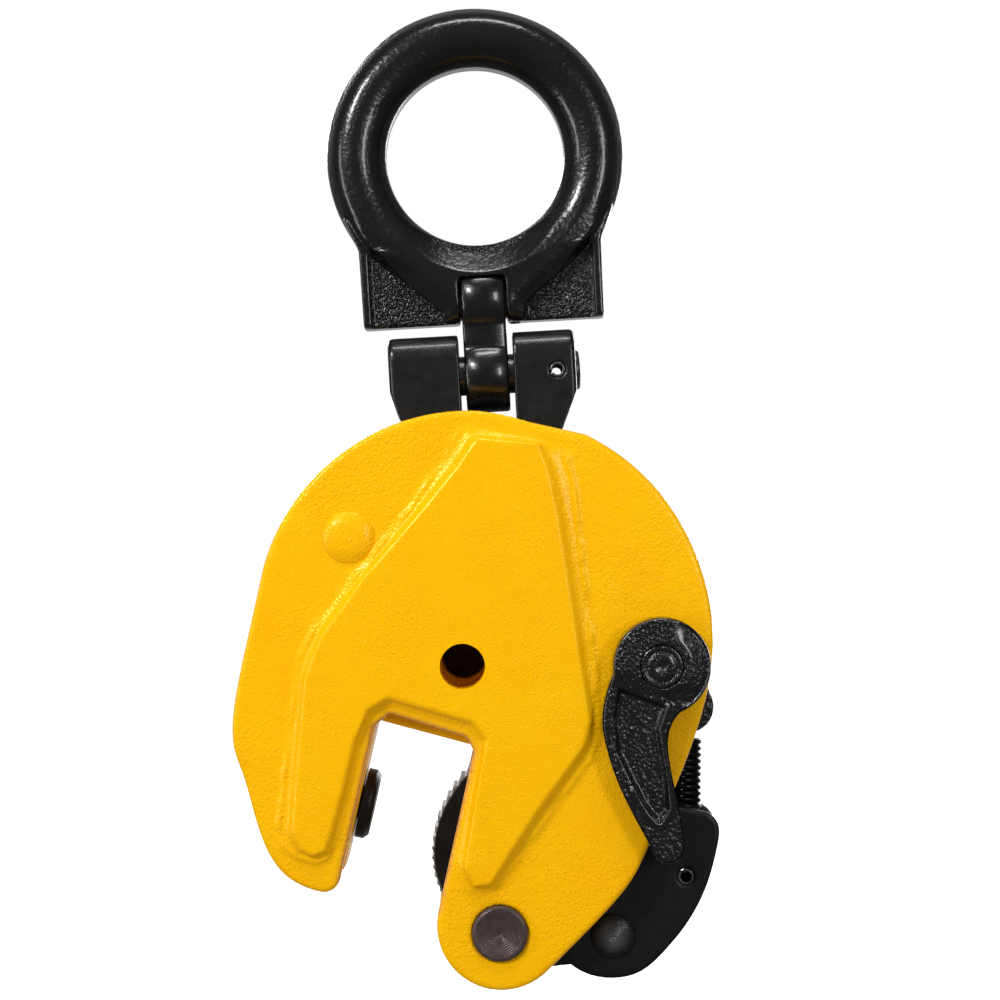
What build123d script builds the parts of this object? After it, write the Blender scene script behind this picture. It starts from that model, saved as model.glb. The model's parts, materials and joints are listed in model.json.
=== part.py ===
from build123d import *
import math
import os

# Plate lifting clamp, 0 to 16 mm jaw, drawn locked open and hanging from its lifting eye.
# Millimetres. Origin at the centre of the lifting eye's bore, the load line is -Z,
# +X is towards the cam side and -Y is the front, where the lock lever is.

os.makedirs("parts", exist_ok=True)

# ---- driving dimensions -------------------------------------------------------------
EYE_BORE_R = 22.5
EYE_OUTER_R = 37.5
EYE_HALF_T = 8.6            # half the thickness of the ring and of its collar
EYE_LAND = 6.0              # width of the plain cylindrical land inside the bore
WEB_HALF_T = 4.0            # half the thickness of the two recessed webs
EYE_BASE_Z = -42.3
EYE_BASE_HALF_W = 30.3
SADDLE_Z = -6.0             # axis of the conical saddle
SADDLE_SLOPE = 53.6

PIN_R = 5.0                 # pins of the swivel link and of the head pivot
RUN = 0.05                  # radial running clearance of every moving fit
SEAT = 0.02                 # radial clearance of pieces that are fixed in each other
PIVOT_SLACK = 1.4           # radial slack of the pull links' upper holes
EYE_PIN_Z = -36.2
HEAD_PIN_Z = -55.2
EYE_PIN_HALF_L = 10.2
LINK_R = 9.5
LINK_HALF_W = 5.5
LINK_NECK = 14.0            # depth of the link between its two eyes
SLOT_HALF_W = 5.9

PIVOT_Z = -87.0             # head pivot, where the pull links hang from the head
HEAD_HALF_T = 9.0
HEAD_TOP_Z = -45.0
HEAD_LOW_Z = -73.0
HEAD_SLOT_W = 13.7
HEAD_PIN_FROM = -24.4
HEAD_PIN_L = 48.0
TONGUE_HALF_T = 6.0

TILT = 15.7                 # angle of the clamp's throat to the load line
CAM_PIN_XZ = (-4.47, -193.74)

GAP_HALF = 12.0             # half the inner gap between the side plates
PLATE_T = 6.0
PANEL_T = 2.5
OUTER = GAP_HALF + PLATE_T
CAM_HALF_T = 6.0
LINK_IN = 6.3               # inner and outer faces of the pull links, from mid-plane
LINK_OUT = 9.3

PANEL_TAPER = 40            # slope of the raised panel's flanks, in degrees
PANEL_CORNER_R = 5.0
RIM_R = 1.2                 # rounding of the side plates' outer rim
BOSS_HALF_T = GAP_HALF - 0.3    # cam boss and its bush, with side play

# places in the clamp's own frame: origin on the cam pin, +y up along the throat
TAIL = (28.1, 4.0)
ROLL = (42.7, 22.4)
LEVER = (24.2, 73.2)
CRANK = (33.7, 64.1)
RIVET = (-57.5, 87.2)
SIGHT_HOLE = (-23.3, 62.4)
PAD = (-37.3, 21.8)         # middle of the pad's gripping face
PIVOT = (-24.6, 104.0)      # the head pivot pin

# pins, holes and rings
RETAINER = (7.9, 0)         # X and Y of the spring pin that holds the eye pin
RETAINER_R = 1.25
HEAD_ROLL = (17.7, HEAD_PIN_Z)
ROLL_PIN_R = 2.0
PIVOT_HEAD_R = 8.2
RIVET_R = 5.0
RIVET_HEAD_R = 6.6
SIGHT_R = 5.6
CAM_PIN_R = 6.9
CAM_PIN_PROUD = 1.3
CAM_BUSH_R = 8.2
TAIL_PIN_R = 4.5
TAIL_HEAD_R = 5.7
CRANK_PIN_R = 1.6
BUSH_R = 7.0
SHAFT_R = 5.4
SHAFT_REAR_R = 4.0
SHAFT_REAR_END = OUTER + 2.0
PAD_R = 8.9
PAD_T = 3.4
STEM_R = 4.0


def clamp_point(x, y):
    """X and Z in the part's frame of a point given in the clamp's own frame."""
    a = math.radians(TILT)
    return (CAM_PIN_XZ[0] + x * math.cos(a) + y * math.sin(a),
            CAM_PIN_XZ[1] - x * math.sin(a) + y * math.cos(a))


def clamp_plane(depth):
    """Plane parallel to the side plates; its normal points to the front."""
    a = math.radians(TILT)
    return Plane(
        origin=(CAM_PIN_XZ[0], depth, CAM_PIN_XZ[1]),
        x_dir=(math.cos(a), 0, -math.sin(a)),
        z_dir=(0, -1, 0),
    )


def front_plane(depth):
    """Plane seen from the front in the load line's frame: x is X and y is Z."""
    return Plane(origin=(0, depth, 0), x_dir=(1, 0, 0), z_dir=(0, -1, 0))


def side_plane(x):
    """Plane across X: its x is Y and its y is Z."""
    return Plane(origin=(x, 0, 0), x_dir=(0, 1, 0), z_dir=(1, 0, 0))


def jaw_plane(x):
    """Plane facing out of the throat through the pad's middle; x is in the clamp's frame."""
    a = math.radians(TILT)
    px, pz = clamp_point(x, PAD[1])
    return Plane(origin=(px, 0, pz), x_dir=(0, 1, 0), z_dir=(-math.cos(a), 0, math.sin(a)))


def save(name, part):
    part.label = name
    export_step(part, f"parts/{name}.step")


# ---- lifting eye and swivel link ----------------------------------------------------
with BuildPart() as lifting_eye:
    # forged ring, bevelled towards its parting plane inside and outside
    with BuildSketch(Plane.XY):
        with BuildLine():
            Polyline(
                (EYE_BORE_R, -EYE_LAND / 2),
                (EYE_BORE_R + 1.2, -EYE_HALF_T + 3.2),
                (EYE_BORE_R + 4.2, -EYE_HALF_T + 0.8),
                (EYE_BORE_R + 8.0, -EYE_HALF_T),
                (EYE_OUTER_R - 2.6, -EYE_HALF_T + 1.0),
                (EYE_OUTER_R, -2.4),
                (EYE_OUTER_R, 2.4),
                (EYE_OUTER_R - 2.6, EYE_HALF_T - 1.0),
                (EYE_BORE_R + 8.0, EYE_HALF_T),
                (EYE_BORE_R + 4.2, EYE_HALF_T - 0.8),
                (EYE_BORE_R + 1.2, EYE_HALF_T - 3.2),
                (EYE_BORE_R, EYE_LAND / 2),
                close=True,
            )
        make_face()
    revolve(axis=Axis.Y)
    # web below the ring, cut clear of the bore
    with BuildSketch(front_plane(WEB_HALF_T)):
        with BuildLine():
            Polyline(
                (-33.4, -15.0),
                (-EYE_BASE_HALF_W - 0.3, -22.5),
                (-EYE_BASE_HALF_W, EYE_BASE_Z),
                (EYE_BASE_HALF_W, EYE_BASE_Z),
                (EYE_BASE_HALF_W + 0.3, -22.5),
                (33.4, -15.0),
                close=True,
            )
        make_face()
        Circle(EYE_BORE_R + 3, mode=Mode.SUBTRACT)
    extrude(amount=2 * WEB_HALF_T)
    # raised rims down both outer edges
    with BuildSketch(front_plane(WEB_HALF_T + 1.6)):
        for side in (-1, 1):
            with BuildLine():
                Polyline(
                    (side * 34.0, -14.5),
                    (side * (EYE_BASE_HALF_W + 0.3), -22.5),
                    (side * EYE_BASE_HALF_W, EYE_BASE_Z),
                    (side * (EYE_BASE_HALF_W - 2.2), EYE_BASE_Z),
                    (side * (EYE_BASE_HALF_W - 2.0), -22.0),
                    (side * 31.0, -15.5),
                    close=True,
                )
            make_face()
    extrude(amount=2 * (WEB_HALF_T + 1.6))
    # collar that carries the eye pin
    with BuildSketch(front_plane(EYE_HALF_T)):
        with BuildLine():
            Polyline(
                (-26.0, -22.8),
                (-20.0, -30.4),
                (-14.2, -35.6),
                (-10.6, -39.0),
                (-10.2, EYE_BASE_Z),
                (10.6, EYE_BASE_Z),
                (10.8, -38.2),
                (14.0, -35.0),
                (20.0, -30.4),
                (26.0, -22.8),
                (12.0, -26.5),
                (-12.0, -26.5),
                close=True,
            )
        make_face()
    extrude(amount=2 * EYE_HALF_T)
    collar_foot = (
        lifting_eye.edges()
        .filter_by(Axis.X)
        .filter_by(lambda e: abs(e.center().Z - EYE_BASE_Z) < 0.01)
        .filter_by(lambda e: abs(abs(e.center().Y) - EYE_HALF_T) < 0.01)
    )
    fillet(collar_foot, 5.0)
    # saddle below the bore, where the hook or sling bears
    for side in (-1, 1):
        with BuildSketch(front_plane(side * EYE_LAND / 2)):
            with Locations((0, SADDLE_Z)):
                Circle(EYE_BORE_R + SADDLE_Z - 0.1)
        extrude(amount=-side * EYE_HALF_T, taper=-SADDLE_SLOPE, mode=Mode.SUBTRACT)
    # round pocket for the link, open downwards
    with BuildSketch(side_plane(-SLOT_HALF_W)):
        with Locations((0, EYE_PIN_Z)):
            Circle(LINK_R + 0.5)
        with Locations((0, EYE_PIN_Z - 10)):
            Rectangle(2 * (LINK_R + 0.5), 20)
    extrude(amount=2 * SLOT_HALF_W, mode=Mode.SUBTRACT)
    # bore for the eye pin, then the retainer's hole
    with BuildSketch(side_plane(-EYE_PIN_HALF_L - 0.1)):
        with Locations((0, EYE_PIN_Z)):
            Circle(PIN_R + SEAT)
    extrude(amount=2 * (EYE_PIN_HALF_L + 0.1), mode=Mode.SUBTRACT)
    with BuildSketch(Plane.XY.offset(EYE_BASE_Z - 1)):
        with Locations(RETAINER):
            Circle(RETAINER_R + SEAT)
    extrude(amount=1 + EYE_PIN_Z - EYE_BASE_Z, mode=Mode.SUBTRACT)
save("lifting_eye", lifting_eye.part)

with BuildPart() as eye_pin:
    with BuildSketch(side_plane(-EYE_PIN_HALF_L)):
        with Locations((0, EYE_PIN_Z)):
            Circle(PIN_R)
    extrude(amount=2 * EYE_PIN_HALF_L)
    with BuildSketch(Plane.XY.offset(EYE_BASE_Z - 1)):
        with Locations(RETAINER):
            Circle(RETAINER_R + SEAT)
    extrude(amount=1 + EYE_PIN_Z - EYE_BASE_Z, mode=Mode.SUBTRACT)
save("eye_pin", eye_pin.part)

with BuildPart() as eye_pin_retainer:
    with BuildSketch(Plane.XY.offset(EYE_BASE_Z - 0.3)):
        with Locations(RETAINER):
            Circle(RETAINER_R)
            Circle(RETAINER_R / 2, mode=Mode.SUBTRACT)
    extrude(amount=EYE_PIN_Z - EYE_BASE_Z)
save("eye_pin_retainer", eye_pin_retainer.part)

with BuildPart() as swivel_link:
    with BuildSketch(side_plane(-LINK_HALF_W)):
        for pin_z in (EYE_PIN_Z, HEAD_PIN_Z):
            with Locations((0, pin_z)):
                Circle(LINK_R)
        with Locations((0, (EYE_PIN_Z + HEAD_PIN_Z) / 2)):
            Rectangle(LINK_NECK, EYE_PIN_Z - HEAD_PIN_Z)
        for pin_z in (EYE_PIN_Z, HEAD_PIN_Z):
            with Locations((0, pin_z)):
                Circle(PIN_R + RUN, mode=Mode.SUBTRACT)
    extrude(amount=2 * LINK_HALF_W)
    rims = swivel_link.edges().filter_by(
        lambda e: abs(abs(e.center().X) - LINK_HALF_W) < 0.01
        and abs(e.center().Y) > PIN_R + 1
    )
    chamfer(rims, 0.5)
save("swivel_link", swivel_link.part)

# ---- shackle head -------------------------------------------------------------------
with BuildPart() as shackle_head:
    with BuildSketch(front_plane(HEAD_HALF_T)):
        with BuildLine():
            Polyline(
                (-24.6, HEAD_TOP_Z),
                (-24.6, -58.6),
                (-22.6, -65.5),
                (-17.0, HEAD_LOW_Z),
                (17.0, HEAD_LOW_Z),
                (19.6, -67.0),
                (22.4, -60.5),
                (22.4, HEAD_TOP_Z),
                close=True,
            )
        make_face()
        with Locations((0, -56.0)):
            Rectangle(HEAD_SLOT_W, 24.0, mode=Mode.SUBTRACT)
    extrude(amount=2 * HEAD_HALF_T)
    # tongue between the pull links
    with BuildSketch(front_plane(TONGUE_HALF_T)):
        with BuildLine():
            Polyline((-14, HEAD_LOW_Z + 0.1), (-11.5, -84), (11.5, -84),
                     (14, HEAD_LOW_Z + 0.1), close=True)
        make_face()
        with Locations((0, PIVOT_Z)):
            Circle(12.0)
    extrude(amount=2 * TONGUE_HALF_T)
    ear_tops = (
        shackle_head.edges()
        .filter_by(Axis.X)
        .filter_by(lambda e: abs(e.center().Z - HEAD_TOP_Z) < 0.01)
    )
    fillet(ear_tops, 5.5)
    ear_sides = (
        shackle_head.edges()
        .filter_by(Axis.Z)
        .filter_by(lambda e: e.center().Z > -64 and abs(e.center().X) > 20)
    )
    chamfer(ear_sides, 0.8)
    with BuildSketch(front_plane(TONGUE_HALF_T)):
        with Locations((0, PIVOT_Z)):
            Circle(PIN_R + RUN)
    extrude(amount=2 * TONGUE_HALF_T, mode=Mode.SUBTRACT)
    with BuildSketch(side_plane(-26)):
        with Locations((0, HEAD_PIN_Z)):
            Circle(PIN_R + SEAT)
    extrude(amount=50, mode=Mode.SUBTRACT)
    with BuildSketch(front_plane(HEAD_HALF_T)):
        with Locations(HEAD_ROLL):
            Circle(ROLL_PIN_R + SEAT)
    extrude(amount=2 * HEAD_HALF_T, mode=Mode.SUBTRACT)
save("shackle_head", shackle_head.part)

with BuildPart() as head_pin:
    with BuildSketch(side_plane(HEAD_PIN_FROM)):
        with Locations((0, HEAD_PIN_Z)):
            Circle(PIN_R)
    extrude(amount=HEAD_PIN_L)
    chamfer(head_pin.edges(), 0.6)
    with BuildSketch(front_plane(HEAD_HALF_T)):
        with Locations(HEAD_ROLL):
            Circle(ROLL_PIN_R + SEAT)
    extrude(amount=2 * HEAD_HALF_T, mode=Mode.SUBTRACT)
save("head_pin", head_pin.part)

with BuildPart() as head_roll_pin:
    with BuildSketch(front_plane(HEAD_HALF_T - 0.2)):
        with Locations(HEAD_ROLL):
            Circle(ROLL_PIN_R)
            Circle(1.3, mode=Mode.SUBTRACT)
    extrude(amount=2 * (HEAD_HALF_T - 0.2))
save("head_roll_pin", head_roll_pin.part)

with BuildPart() as head_pivot_pin:
    with BuildSketch(front_plane(11.3)):
        with Locations((0, PIVOT_Z)):
            Circle(PIN_R)
    extrude(amount=22.6)
    with BuildSketch(front_plane(-9.7)):
        with Locations((0, PIVOT_Z)):
            Circle(PIVOT_HEAD_R)
    extrude(amount=1.6)
save("head_pivot_pin", head_pivot_pin.part)

with BuildPart() as pivot_pin_ring:
    with BuildSketch(front_plane(10.9)):
        with Locations((0, PIVOT_Z)):
            Circle(PIVOT_HEAD_R)
            Circle(PIN_R + SEAT, mode=Mode.SUBTRACT)
    extrude(amount=1.1)
save("pivot_pin_ring", pivot_pin_ring.part)


# ---- side plates --------------------------------------------------------------------
def plate_outline():
    """Closed outline of a side plate in the clamp's own frame."""
    foot = (0.0, 1.8)
    foot_r = 16.0
    lean = math.radians(-33)
    foot_end = (foot[0] + foot_r * math.cos(lean), foot[1] + foot_r * math.sin(lean))
    tip_r = 4.0
    Line((-33.0, 124.7), (-6.0, 124.7))
    Spline(
        (-6.0, 124.7), (20.3, 109.9), (33.8, 88.7), (37.1, 66.0), (31.0, 27.5), foot_end,
        tangents=((1.0, -0.25), (math.sin(lean), -math.cos(lean))),
    )
    ThreePointArc(foot_end, (foot[0], foot[1] - foot_r), (-foot_r, foot[1]))
    Polyline((-16.0, foot[1]), (-16.0, 42.3), (-18.5, 45.3), (-38.2, 46.9), (-41.4, 43.0),
             (-41.4, 0.2 + tip_r))
    ThreePointArc(
        (-41.4, 0.2 + tip_r),
        (-41.4 - tip_r * (1 - math.sqrt(0.5)), 0.2 + tip_r * (1 - math.sqrt(0.5))),
        (-41.4 - tip_r, 0.2),
    )
    Spline(
        (-41.4 - tip_r, 0.2), (-60.4, 7.2), (-69.8, 23.3), (-76.6, 52.0),
        tangents=((-1.0, 0.0), (0.0, 1.0)),
    )
    Line((-76.6, 52.0), (-76.6, 76.0))
    ThreePointArc((-76.6, 76.0), (-62.0, 109.2), (-33.0, 124.7))


def panel_outline():
    """Foot of the raised panel, a Y shape that reinforces both jaw legs."""
    Polyline(
        (-35.8, 120.5), (-44.1, 97.7), (-60.7, 64.3), (-62.9, 55.9), (-61.2, 35.0),
        (-58.6, 12.0), (-54.0, 7.6), (-47.5, 7.2), (-43.2, 11.5), (-43.0, 43.5),
        (-39.0, 48.6), (-17.8, 47.0), (-14.4, 43.0), (-14.6, 14.0), (-10.0, 8.4),
        (-3.8, 9.6), (5.6, 31.5), (13.2, 49.5), (12.4, 58.7), (3.3, 84.2),
        (-6.6, 113.0), (-11.0, 120.8), close=True,
    )


def make_side_plate(side, lever_hole_r):
    """A side plate; side is -1 for the front plate and +1 for the rear one."""
    with BuildPart() as plate:
        with BuildSketch(clamp_plane(side * GAP_HALF)):
            with BuildLine():
                plate_outline()
            make_face()
        extrude(amount=-side * PLATE_T)
        rim = plate.faces().sort_by(Axis.Y)[0 if side < 0 else -1].edges()
        fillet(rim, RIM_R)
        with BuildSketch(clamp_plane(side * OUTER)):
            with BuildLine():
                panel_outline()
            corners = make_face().vertices()
            fillet(corners, PANEL_CORNER_R)
        extrude(amount=-side * PANEL_T, taper=PANEL_TAPER)
        # bores for the cam pin, the sight hole, the frame rivet and the lever shaft
        holes = (
            ((0, 0), CAM_PIN_R + SEAT),
            (SIGHT_HOLE, SIGHT_R),
            (RIVET, RIVET_R + SEAT),
            (LEVER, lever_hole_r),
        )
        with BuildSketch(clamp_plane(side * (GAP_HALF - 1))):
            for place, radius in holes:
                with Locations(place):
                    Circle(radius)
        extrude(amount=-side * 12, mode=Mode.SUBTRACT)
    return plate.part


save("front_side_plate", make_side_plate(-1, BUSH_R + SEAT))
save("rear_side_plate", make_side_plate(1, SHAFT_REAR_R + RUN))

# ---- fixed pieces between the plates ------------------------------------------------
with BuildPart() as jaw_block:
    with BuildSketch(clamp_plane(GAP_HALF)):
        with BuildLine():
            Polyline(
                (-41.1, 43.6), (-41.1, 6.0), (-47.0, 4.0), (-52.0, 9.0), (-54.5, 20.0),
                (-52.5, 43.6), close=True,
            )
        make_face()
    extrude(amount=2 * GAP_HALF)
    # seat for the pad's stem, square to the jaw face
    with BuildSketch(jaw_plane(-36)):
        Circle(STEM_R + RUN)
    extrude(amount=20, mode=Mode.SUBTRACT)
save("jaw_block", jaw_block.part)

with BuildPart() as throat_stop:
    with BuildSketch(clamp_plane(GAP_HALF)):
        with BuildLine():
            Polyline((-40.0, 44.2), (-17.0, 43.2), (-17.0, 47.0), (-40.0, 49.0), close=True)
        make_face()
    extrude(amount=2 * GAP_HALF)
save("throat_stop", throat_stop.part)

with BuildPart() as back_spacer:
    with BuildSketch(clamp_plane(GAP_HALF)):
        with Locations((-70.5, 56.0)):
            Rectangle(4.5, 20.0)
    extrude(amount=2 * GAP_HALF)
save("back_spacer", back_spacer.part)

with BuildPart() as rivet_sleeve:
    with BuildSketch(clamp_plane(GAP_HALF)):
        with Locations(RIVET):
            Circle(RIVET_R + 2.5)
            Circle(RIVET_R + SEAT, mode=Mode.SUBTRACT)
    extrude(amount=2 * GAP_HALF)
save("rivet_sleeve", rivet_sleeve.part)

with BuildPart() as frame_rivet:
    with BuildSketch(clamp_plane(OUTER)):
        with Locations(RIVET):
            Circle(RIVET_R)
    extrude(amount=2 * OUTER)
    for depth, height in ((-OUTER, 1.5), (OUTER, -1.5)):
        with BuildSketch(clamp_plane(depth)):
            with Locations(RIVET):
                Circle(RIVET_HEAD_R)
        extrude(amount=height, taper=35)
save("frame_rivet", frame_rivet.part)

with BuildPart() as cam_pin:
    with BuildSketch(clamp_plane(OUTER + CAM_PIN_PROUD)):
        Circle(CAM_PIN_R)
    extrude(amount=2 * (OUTER + CAM_PIN_PROUD))
    chamfer(cam_pin.edges(), 0.6)
save("cam_pin", cam_pin.part)

with BuildPart() as lever_bush:
    with BuildSketch(clamp_plane(-GAP_HALF)):
        with Locations(LEVER):
            Circle(BUSH_R)
            Circle(SHAFT_R + RUN, mode=Mode.SUBTRACT)
    extrude(amount=PLATE_T)
save("lever_bush", lever_bush.part)

with BuildPart() as rating_label:
    with BuildSketch(clamp_plane(OUTER + PANEL_T)):
        with Locations((SIGHT_HOLE[0], SIGHT_HOLE[1] + 2)):
            RectangleRounded(26, 22, 2)
    extrude(amount=-0.5)
save("rating_label", rating_label.part)

# ---- swivel pad ---------------------------------------------------------------------
with BuildPart() as swivel_pad:
    with BuildSketch(jaw_plane(PAD[0])):
        Circle(PAD_R)
    extrude(amount=PAD_T)
    chamfer(swivel_pad.edges().group_by(Axis.X)[-1], 1.2)
    with BuildSketch(jaw_plane(PAD[0] - PAD_T + 0.1)):
        Circle(STEM_R)
    extrude(amount=12.0)
save("swivel_pad", swivel_pad.part)

# ---- cam ----------------------------------------------------------------------------
CAM_TEETH = 16
TOOTH_DEPTH = 1.5
ARC_START = 165.0           # polar angle of the smallest radius, in degrees
ARC_END = 104.0
R_START = 17.0
R_END = 45.3
FACE_POWER = 1.05


def cam_radius(angle):
    """Radius of the toothed face; it grows almost evenly as the polar angle falls."""
    share = (ARC_START - angle) / (ARC_START - ARC_END)
    return R_START + (R_END - R_START) * share ** FACE_POWER


def polar(radius, angle):
    return (radius * math.cos(math.radians(angle)), radius * math.sin(math.radians(angle)))


def toothed_face():
    """Points of the saw-toothed gripping face from its low end to its high end."""
    points = []
    step = (ARC_START - ARC_END) / CAM_TEETH
    for tooth in range(CAM_TEETH):
        root_angle = ARC_START - step * tooth
        tip_angle = root_angle - step / 2
        points.append(polar(cam_radius(root_angle) - TOOTH_DEPTH, root_angle))
        points.append(polar(cam_radius(tip_angle), tip_angle))
    return points


with BuildPart() as cam:
    with BuildSketch(clamp_plane(CAM_HALF_T)):
        with BuildLine():
            face = toothed_face()
            Polyline(*face, (2.0, 36.0), (12.0, 12.0), (24.0, 13.0), (28.0, 10.0),
                     (24.0, -4.6), (10.0, -9.0), (-8.0, -9.0), close=True)
        make_face()
        Circle(12.0)
        with Locations(TAIL):
            Circle(9.0)
    extrude(amount=2 * CAM_HALF_T)
    with BuildSketch(clamp_plane(BOSS_HALF_T)):
        Circle(12.0)
    extrude(amount=2 * BOSS_HALF_T)
    with BuildSketch(clamp_plane(GAP_HALF)):
        Circle(CAM_BUSH_R + SEAT)
        with Locations(TAIL):
            Circle(TAIL_PIN_R + RUN)
    extrude(amount=2 * GAP_HALF, mode=Mode.SUBTRACT)
save("cam", cam.part)

with BuildPart() as cam_bush:
    with BuildSketch(clamp_plane(BOSS_HALF_T)):
        Circle(CAM_BUSH_R)
        Circle(CAM_PIN_R + RUN, mode=Mode.SUBTRACT)
    extrude(amount=2 * BOSS_HALF_T)
save("cam_bush", cam_bush.part)


# ---- pull links ---------------------------------------------------------------------
def make_pull_link(side):
    """A horned link; the front one is side -1. It hangs on the head pivot pin."""
    with BuildPart() as link:
        with BuildSketch(clamp_plane(side * LINK_IN)):
            with BuildLine():
                Polyline(
                    (44.6, 39.2), (36.0, 39.2), (24.0, 40.5), (12.0, 52.0), (-16.4, 107.6),
                    (-32.6, 100.6), (-9.5, 56.0), (4.0, 30.0), (17.5, 10.0), (15.4, -2.0),
                )
                Spline(
                    (15.4, -2.0), (20.8, -6.0), (30.1, -6.5), (36.8, -3.3), (41.2, 2.4),
                    (45.5, 10.9), (48.2, 20.7), (48.8, 31.5), (48.0, 36.6), (44.6, 39.2),
                )
            make_face()
            with Locations(PIVOT):
                Circle(10.5)
        extrude(amount=-side * (LINK_OUT - LINK_IN))
        with BuildSketch(clamp_plane(side * (LINK_IN - 1))):
            with Locations(PIVOT):
                Circle(PIN_R + PIVOT_SLACK)
            with Locations(TAIL):
                Circle(TAIL_PIN_R + SEAT)
            with Locations(ROLL):
                Circle(ROLL_PIN_R + SEAT)
        extrude(amount=-side * 6, mode=Mode.SUBTRACT)
    return link.part


save("front_pull_link", make_pull_link(-1))
save("rear_pull_link", make_pull_link(1))

with BuildPart() as tail_pin:
    with BuildSketch(clamp_plane(LINK_OUT)):
        with Locations(TAIL):
            Circle(TAIL_PIN_R)
    extrude(amount=2 * LINK_OUT)
    for depth, height in ((-LINK_OUT, 2.2), (LINK_OUT, -2.2)):
        with BuildSketch(clamp_plane(depth)):
            with Locations(TAIL):
                Circle(TAIL_HEAD_R)
        extrude(amount=height, taper=30)
save("tail_pin", tail_pin.part)

with BuildPart() as spring_roll_pin:
    with BuildSketch(clamp_plane(LINK_OUT + 0.4)):
        with Locations(ROLL):
            Circle(ROLL_PIN_R)
            Circle(1.2, mode=Mode.SUBTRACT)
    extrude(amount=2 * (LINK_OUT + 0.4))
save("spring_roll_pin", spring_roll_pin.part)

# ---- lock lever, its shaft and crank ------------------------------------------------
LEVER_BACK = OUTER + 0.5
LEVER_T = 7.0
HUB_R = 12.0
POCKET_DEPTH = 1.8
CRANK_BACK = 6.2            # the crank's rear face, in front of the mid-plane
CRANK_T = 5.4
SHAFT_STEP = 6.0            # where the shaft steps down to its rear radius
CRANK_PIN_L = 17.0
with BuildPart() as lock_lever:
    with BuildSketch(clamp_plane(-LEVER_BACK)):
        with Locations(LEVER):
            Circle(HUB_R)
        with BuildLine():
            Spline((13.0, 69.0), (12.4, 62.6), (12.9, 57.2), (15.3, 51.0), (18.7, 45.0),
                   (26.4, 35.0), (32.0, 28.6))
            ThreePointArc((32.0, 28.6), (36.2, 26.6), (39.3, 30.5))
            Spline((39.3, 30.5), (37.1, 37.5), (33.8, 44.7), (30.6, 52.2), (29.4, 57.7),
                   (30.4, 62.2), (33.0, 65.4))
            Polyline((33.0, 65.4), (28.0, 72.0), (13.0, 69.0))
        make_face()
    extrude(amount=LEVER_T)
    fillet(lock_lever.faces().sort_by(Axis.Y)[0].edges(), 1.0)
    # sunk pocket in the arm
    with BuildSketch(clamp_plane(-LEVER_BACK - LEVER_T)):
        with BuildLine():
            Polyline((16.2, 63.0), (25.6, 61.6), (26.6, 56.0), (30.4, 45.8), (31.6, 39.8),
                     (30.4, 37.6), (25.6, 41.6), (18.6, 50.6), (16.2, 58.0), close=True)
        make_face()
    extrude(amount=-POCKET_DEPTH, mode=Mode.SUBTRACT)
    with BuildSketch(clamp_plane(-LEVER_BACK + 1)):
        with Locations(LEVER):
            Circle(SHAFT_R + SEAT)
    extrude(amount=LEVER_T + 2, mode=Mode.SUBTRACT)
save("lock_lever", lock_lever.part)

with BuildPart() as lever_shaft:
    with BuildSketch(clamp_plane(-SHAFT_STEP)):
        with Locations(LEVER):
            Circle(SHAFT_R)
    extrude(amount=LEVER_BACK + LEVER_T - SHAFT_STEP - 0.3)
    with BuildSketch(clamp_plane(SHAFT_REAR_END)):
        with Locations(LEVER):
            Circle(SHAFT_REAR_R)
    extrude(amount=SHAFT_REAR_END + SHAFT_STEP)
save("lever_shaft", lever_shaft.part)

with BuildPart() as shaft_ring:
    with BuildSketch(clamp_plane(OUTER + 1.5)):
        with Locations(LEVER):
            Circle(6.5)
            Circle(SHAFT_REAR_R + SEAT, mode=Mode.SUBTRACT)
    extrude(amount=1.1)
save("shaft_ring", shaft_ring.part)

with BuildPart() as crank_arm:
    with BuildSketch(clamp_plane(-CRANK_BACK)):
        with Locations(LEVER):
            Circle(8.5)
        with Locations(CRANK):
            Circle(6.5)
        with BuildLine():
            Polyline((18.3, 67.1), (29.1, 59.5), (38.4, 68.7), (30.1, 79.3), close=True)
        make_face()
        with Locations(LEVER):
            Circle(SHAFT_R + SEAT, mode=Mode.SUBTRACT)
        with Locations(CRANK):
            Circle(CRANK_PIN_R + SEAT, mode=Mode.SUBTRACT)
    extrude(amount=CRANK_T)
save("crank_arm", crank_arm.part)

with BuildPart() as crank_pin:
    with BuildSketch(clamp_plane(CRANK_T)):
        with Locations(CRANK):
            Circle(CRANK_PIN_R)
    extrude(amount=CRANK_PIN_L)
save("crank_pin", crank_pin.part)

# ---- lock spring --------------------------------------------------------------------
SPRING_OD = 9.0
WIRE = 1.6
COIL_PITCH = 1.75
HOOK_LENGTH = 7.5
ROLL_LOOP_R = 2.6           # inside radius of the loop round the roll pin
CRANK_LOOP_R = 3.2          # inside radius of the loop round the crank pin
LOOP_INSET = 1.1            # the crank loop hangs this far below the crank pin's axis
ROLL_X, ROLL_Z = clamp_point(*ROLL)
CRANK_X, CRANK_Z = clamp_point(*CRANK)
SPAN = math.hypot(CRANK_X - ROLL_X, CRANK_Z - ROLL_Z)
SPRING_DIR = ((CRANK_X - ROLL_X) / SPAN, 0, (CRANK_Z - ROLL_Z) / SPAN)
COIL_PLANE = Plane(origin=(ROLL_X, 0, ROLL_Z), x_dir=(0, 1, 0), z_dir=SPRING_DIR)
HOOK_PLANE = Plane(origin=(ROLL_X, 0, ROLL_Z), x_dir=SPRING_DIR, z_dir=(0, -1, 0))
TURNS = int((SPAN - 2 * HOOK_LENGTH) / COIL_PITCH)
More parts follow.
